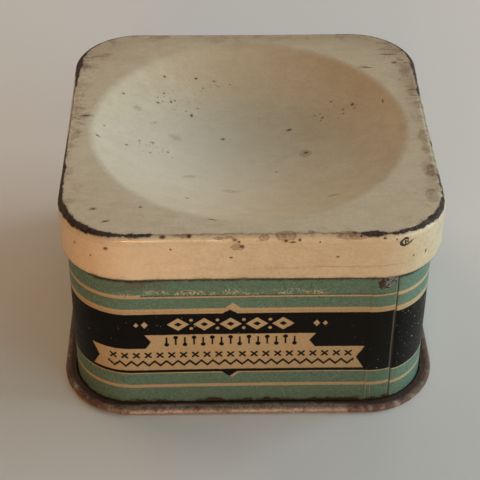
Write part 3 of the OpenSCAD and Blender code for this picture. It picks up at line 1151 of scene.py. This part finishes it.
# Round the bare places the enamel is scorched brown, and in them lie rust and dull metal
scorched = most(under(bands, 0.16, 0.12), over(thin, 0.62, 0.03))
scorched = times(scorched, over(grit, 0.42, 0.1))
colour = stained(colour, scorched, 0.5, ink(106, 76, 48))
bare_metal = mix(over(milky, 0.5, 0.1), ink(34, 23, 14), ink(60, 39, 23))
bare_metal = mix(over(grit, 0.58, 0.06), bare_metal, ink(98, 88, 78))
colour = mix(chips, colour, bare_metal)

# The turned lower edge of the skirt, dark with handling, and a long scratch above it
edge_dirt = weighed(milky, 0.9, weighed(grit, 0.5, lid_down))
edge_dark = over(edge_dirt, 8.69, 0.1)
colour = stained(colour, edge_dark, 0.85, ink(70, 50, 32))
rubbed_low = over(weighed(milky, 2.2, lid_down), 8.9, 0.5)
colour = stained(colour, rubbed_low, 0.18, ink(140, 102, 66))
scratched_around = enamel.ragged(around, 1.6, 0.12, 55)
skirt_scratch = nearest(scratched_around, (
    (12.5, 5.95, 4.6, 0.07, 1.5), (18.5, 5.8, 3.2, 0.06), (4.5, 6.15, 3.5, 0.05),
))
colour = stained(colour, under(skirt_scratch, 1, 0.7), 0.5, ink(134, 98, 64))

enamel.relief(enamel.cloud(1.7, 56, detail=3, rough=0.6), 0.05)
enamel.relief(grit, 0.016)
enamel.relief(chips, -0.05)
polished = under(apart(lid_down, 1.1), 1.1, 0.7)
enamel_rough = weighed(milky, 0.3, 0.4)
enamel_rough = times(weighed(polished, -0.82, 1), enamel_rough)
enamel_rough = most(enamel_rough, times(chips, 0.8))
enamel.finish(colour, enamel_rough)

lid_materials = (enamel.material, inside_tin.material)
piece_from(lid, "tin_lid", lid_materials, "lid", "lid")

# ---------------------------------------------------------------------------
# The table: a plain pale board. It reaches far past the tin on every side, and the
# tin stands loose on it.
# ---------------------------------------------------------------------------
TABLE_REACH = 3
table = bmesh.new()
bmesh.ops.create_grid(table, x_segments=1, y_segments=1, size=TABLE_REACH)
table_mesh = bpy.data.meshes.new("table_top")
table.to_mesh(table_mesh)
table.free()
table_top = bpy.data.objects.new("table_top", table_mesh)
bpy.context.scene.collection.objects.link(table_top)
table_finish = Finish("pale_table")
table_finish.finish(ink(229, 230, 223), 0.5)
table_mesh.materials.append(table_finish.material)

# ---------------------------------------------------------------------------
# The light: a cool window on the right, made of four soft panels round that side,
# warm walls behind and on the left, and in front a high soft panel and, low down,
# a warm lamp with its bulb. Each shines at the tin's middle.
# ---------------------------------------------------------------------------
MIDDLE = Vector((0, 0, 0.02))

for name, place, width, height, power, tint in (
    ("window", (0.78, 0.1, 0.35), 0.6, 0.5, 4.81, (0.795, 0.877, 1)),
    ("window_behind", (0.55, 0.6, 0.4), 0.7, 0.5, 1.10, (0.95, 1, 0.913)),
    ("window_sill", (0.75, -0.35, 0.10), 0.5, 0.2, 1.42, (0.739, 1, 0.845)),
    ("window_front", (0.6, -0.55, 0.4), 0.5, 0.4, 1.62, (0.333, 0.741, 1)),
    ("back_wall", (0.0, 0.85, 0.4), 0.8, 0.5, 1.39, (1, 0.657, 0.552)),
    ("left_wall", (-0.6, 0.6, 0.4), 0.6, 0.5, 2.40, (1, 0.816, 0.572)),
    ("lamp", (-0.12, -0.75, 0.14), 0.22, 0.14, 1.55, (1, 0.31, 0.00645)),
    ("front", (0.0, -0.75, 0.5), 0.5, 0.4, 0.82, (1, 0.659, 0.402)),
    ("bulb", (-0.06, -0.75, 0.13), 0.03, 0.04, 0.60, (1, 0.767, 0.533)),
):
    lamp = bpy.data.lights.new(name, "AREA")
    lamp.shape = "RECTANGLE"
    lamp.size = width
    lamp.size_y = height
    lamp.energy = power
    lamp.color = tint
    shade = bpy.data.objects.new(name, lamp)
    shade.location = place
    shade.rotation_euler = (MIDDLE - Vector(place)).to_track_quat("-Z", "Y").to_euler()
    bpy.context.scene.collection.objects.link(shade)

ROOM_GREY = (0.62, 0.62, 0.64, 1)
ROOM_GLOW = 0.01
room = bpy.data.worlds.new("room")
room.use_nodes = True
room.node_tree.nodes["Background"].inputs["Color"].default_value = ROOM_GREY
room.node_tree.nodes["Background"].inputs["Strength"].default_value = ROOM_GLOW
bpy.context.scene.world = room
bpy.context.scene.view_settings.view_transform = "Standard"

# ---------------------------------------------------------------------------
# The camera: it stands a little to the left, looks down at the front of the tin,
# and is held almost level.
# ---------------------------------------------------------------------------
STANDS_AT = (-0.00577, -0.17612, 0.1505)
LOOKS_DOWN = radians(38.31)
TURNED = radians(-1.55)
ROLLED = radians(0.42)
LENS = 102.7

view = bpy.data.cameras.new("view")
view.sensor_width = 36
view.lens = LENS
view.clip_start = 0.01
camera = bpy.data.objects.new("camera", view)
aim = Matrix.Rotation(TURNED, 4, "Z") @ Matrix.Rotation(pi / 2 - LOOKS_DOWN, 4, "X")
camera.matrix_world = Matrix.Translation(STANDS_AT) @ aim @ Matrix.Rotation(ROLLED, 4, "Z")
bpy.context.scene.collection.objects.link(camera)
bpy.context.scene.camera = camera
